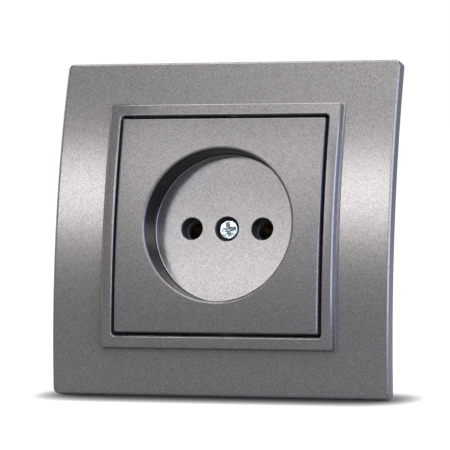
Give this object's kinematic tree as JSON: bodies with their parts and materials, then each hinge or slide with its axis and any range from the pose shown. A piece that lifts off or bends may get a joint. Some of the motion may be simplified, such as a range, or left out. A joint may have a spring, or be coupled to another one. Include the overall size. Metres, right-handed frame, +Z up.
{
  "type": "wall socket",
  "caption": "Flush wall socket without earth: an arched grey frame, a raised inner ring and a plate with a round well, on a steel plate with spreading claws.",
  "frame": {"origin": "On the socket's axis, in the plane of the wall: the centre of the box screw holes, on the rear face of the mounting plate.", "axes": "+Y goes into the wall, so the face that the user sees looks along -Y. +Z is up and +X is to the right, seen from the room."},
  "size_m": [0.09, 0.037, 0.0868],
  "materials": {
    "grey_lacquer": "fine metallic grey lacquer on a plastic moulding",
    "zinc_screw": "bright zinc plating",
    "zinc_sheet": "zinc-plated sheet steel",
    "base_moulding": "light thermoset moulding",
    "cover_moulding": "grey insulating moulding",
    "brass": "stamped brass",
    "spring_steel": "hardened spring strip",
    "rivet_steel": "plain rivet steel",
    "claw_steel": "folded steel strip, zinc plated"
  },
  "bodies": {
    "socket": {"outer_frame": "grey_lacquer", "inner_bezel": "grey_lacquer", "socket_face": "grey_lacquer", "face_screw": "zinc_screw", "mounting_plate": "zinc_sheet", "mechanism_base": "base_moulding", "contact_cover": "cover_moulding", "centre_bush": "brass", "contact_left": "brass", "contact_right": "brass", "contact_clip_left": "spring_steel", "contact_clip_right": "spring_steel", "terminal_block_left": "brass", "terminal_block_right": "brass", "terminal_screw_left": "zinc_screw", "terminal_screw_right": "zinc_screw", "terminal_clamp_left": "zinc_sheet", "terminal_clamp_right": "zinc_sheet", "rivet_upper_left": "rivet_steel", "rivet_upper_right": "rivet_steel", "rivet_lower_left": "rivet_steel", "rivet_lower_right": "rivet_steel"},
    "left_claw": {"claw_left": "claw_steel"},
    "right_claw": {"claw_right": "claw_steel"},
    "left_claw_screw": {"claw_screw_left": "zinc_screw"},
    "right_claw_screw": {"claw_screw_right": "zinc_screw"}
  },
  "joints": [
    {"name": "left_claw_swing", "type": "hinge", "parent": "socket", "child": "left_claw", "pos_m": [-0.0224, 0.0028, 0], "axis": [0, 0, 1], "range_deg": [0, 15]},
    {"name": "right_claw_swing", "type": "hinge", "parent": "socket", "child": "right_claw", "pos_m": [0.0224, 0.0028, 0], "axis": [0, 0, -1], "range_deg": [0, 15]},
    {"name": "left_claw_screw_draw", "type": "slide", "parent": "left_claw", "child": "left_claw_screw", "axis": [0, 1, 0], "range_m": [0, 0.000373]},
    {"name": "right_claw_screw_draw", "type": "slide", "parent": "right_claw", "child": "right_claw_screw", "axis": [0, 1, 0], "range_m": [0, 0.000373]}
  ],
  "couplings": [
    {"joint": "left_claw_screw_draw", "follows": "left_claw_swing", "m_per_rad": 0.0014248},
    {"joint": "right_claw_screw_draw", "follows": "right_claw_swing", "m_per_rad": 0.0014248}
  ]
}
